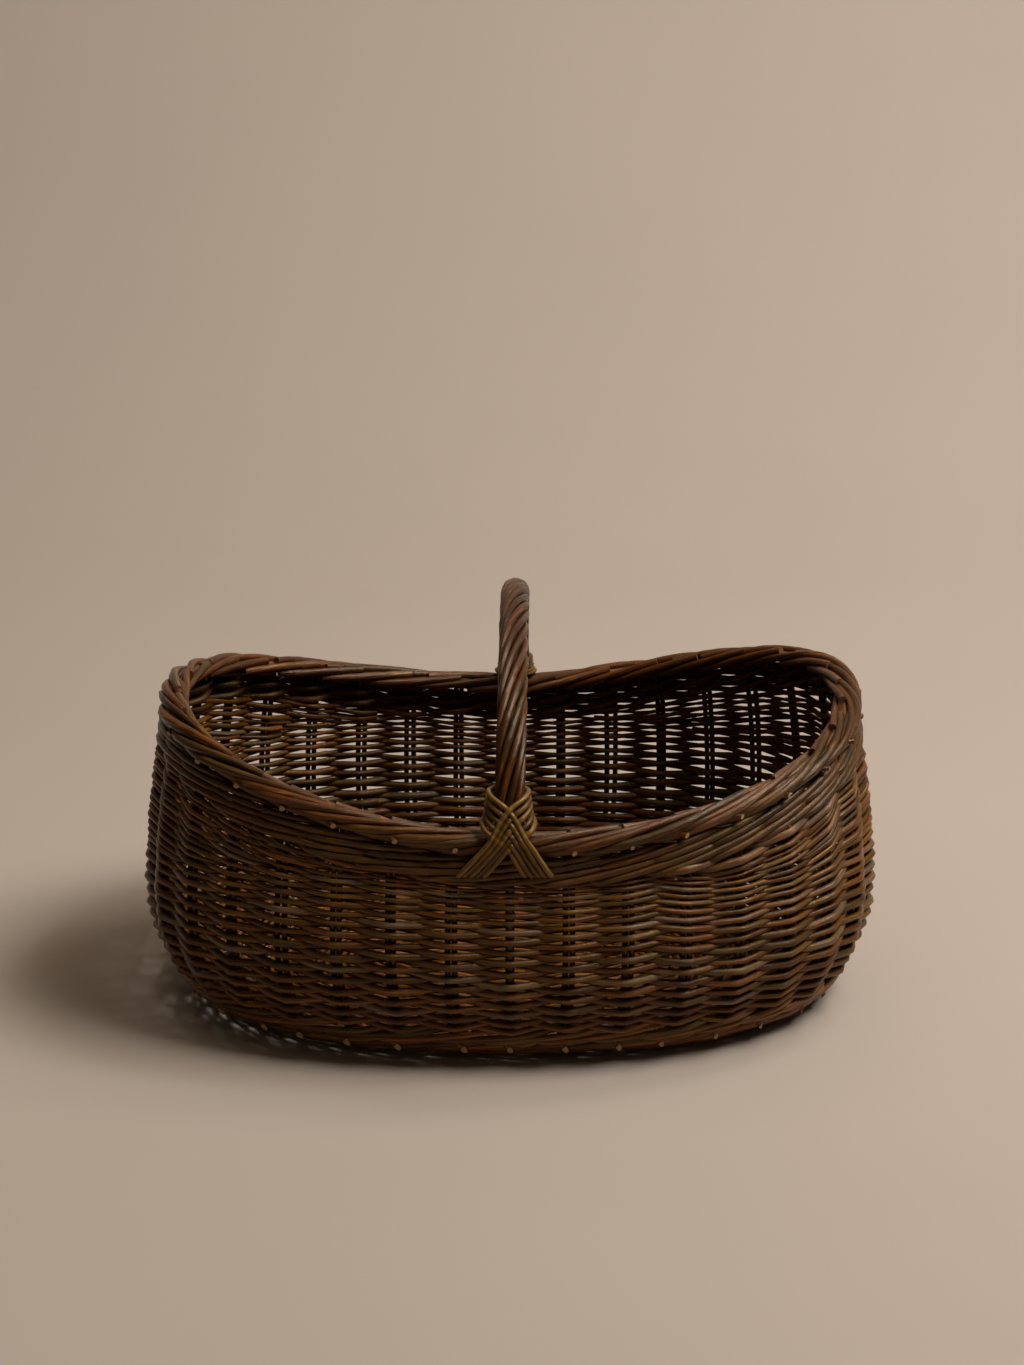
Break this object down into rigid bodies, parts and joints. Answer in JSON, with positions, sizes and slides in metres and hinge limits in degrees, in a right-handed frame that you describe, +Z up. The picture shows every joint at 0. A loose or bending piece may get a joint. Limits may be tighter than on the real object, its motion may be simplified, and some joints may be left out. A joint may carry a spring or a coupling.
{
  "type": "planter basket",
  "caption": "Oval dark willow planter basket with a dipped rim, a woven wall on doubled stakes, a rolled border and a fixed rod-wound handle lashed to the border.",
  "frame": {"origin": "on the floor under the middle of the basket", "axes": "+X along the basket, +Y from the front to the back across it, +Z up"},
  "size_m": [0.6022, 0.4338, 0.3294],
  "materials": {
    "stake_willow": "dark bark-on willow, satin",
    "handle_willow": "dark bark-on willow, satin",
    "upsett_willow": "dark bark-on willow, satin",
    "wale_willow": "dark bark-on willow, satin",
    "weaver_willow": "dark bark-on willow, satin",
    "border_willow": "dark bark-on willow, satin",
    "lashing_willow": "dark bark-on willow, satin",
    "base_stick_willow": "dark bark-on willow, satin",
    "base_willow": "dark bark-on willow, satin"
  },
  "bodies": {
    "root": {"stake_01": "stake_willow", "stake_02": "stake_willow", "stake_03": "stake_willow", "stake_04": "stake_willow", "stake_05": "stake_willow", "stake_06": "stake_willow", "stake_07": "stake_willow", "stake_08": "stake_willow", "stake_09": "stake_willow", "stake_10": "stake_willow", "stake_11": "stake_willow", "stake_12": "stake_willow", "stake_13": "stake_willow", "stake_14": "stake_willow", "stake_15": "stake_willow", "stake_16": "stake_willow", "stake_17": "stake_willow", "stake_18": "stake_willow", "stake_19": "stake_willow", "stake_20": "stake_willow", "stake_21": "stake_willow", "stake_22": "stake_willow", "stake_23": "stake_willow", "stake_24": "stake_willow", "stake_25": "stake_willow", "stake_26": "stake_willow", "stake_27": "stake_willow", "stake_28": "stake_willow", "stake_29": "stake_willow", "stake_30": "stake_willow", "stake_31": "stake_willow", "stake_32": "stake_willow", "stake_33": "stake_willow", "stake_34": "stake_willow", "handle_bow": "handle_willow", "handle_rod_1": "handle_willow", "handle_rod_2": "handle_willow", "handle_rod_3": "handle_willow", "handle_rod_4": "handle_willow", "handle_rod_5": "handle_willow", "handle_rod_6": "handle_willow", "handle_rod_7": "handle_willow", "handle_rod_8": "handle_willow", "upsett_wale": "upsett_willow", "top_wale": "wale_willow", "chasing_weaver_a": "weaver_willow", "chasing_weaver_b": "weaver_willow", "packing_right": "weaver_willow", "packing_left": "weaver_willow", "border": "border_willow", "front_lashing": "lashing_willow", "rear_lashing": "lashing_willow", "base_long_stick_1": "base_stick_willow", "base_long_stick_2": "base_stick_willow", "base_short_stick_1": "base_stick_willow", "base_short_stick_2": "base_stick_willow", "base_short_stick_3": "base_stick_willow", "base_short_stick_4": "base_stick_willow", "base_short_stick_5": "base_stick_willow", "base_mat": "base_willow"}
  },
  "joints": []
}
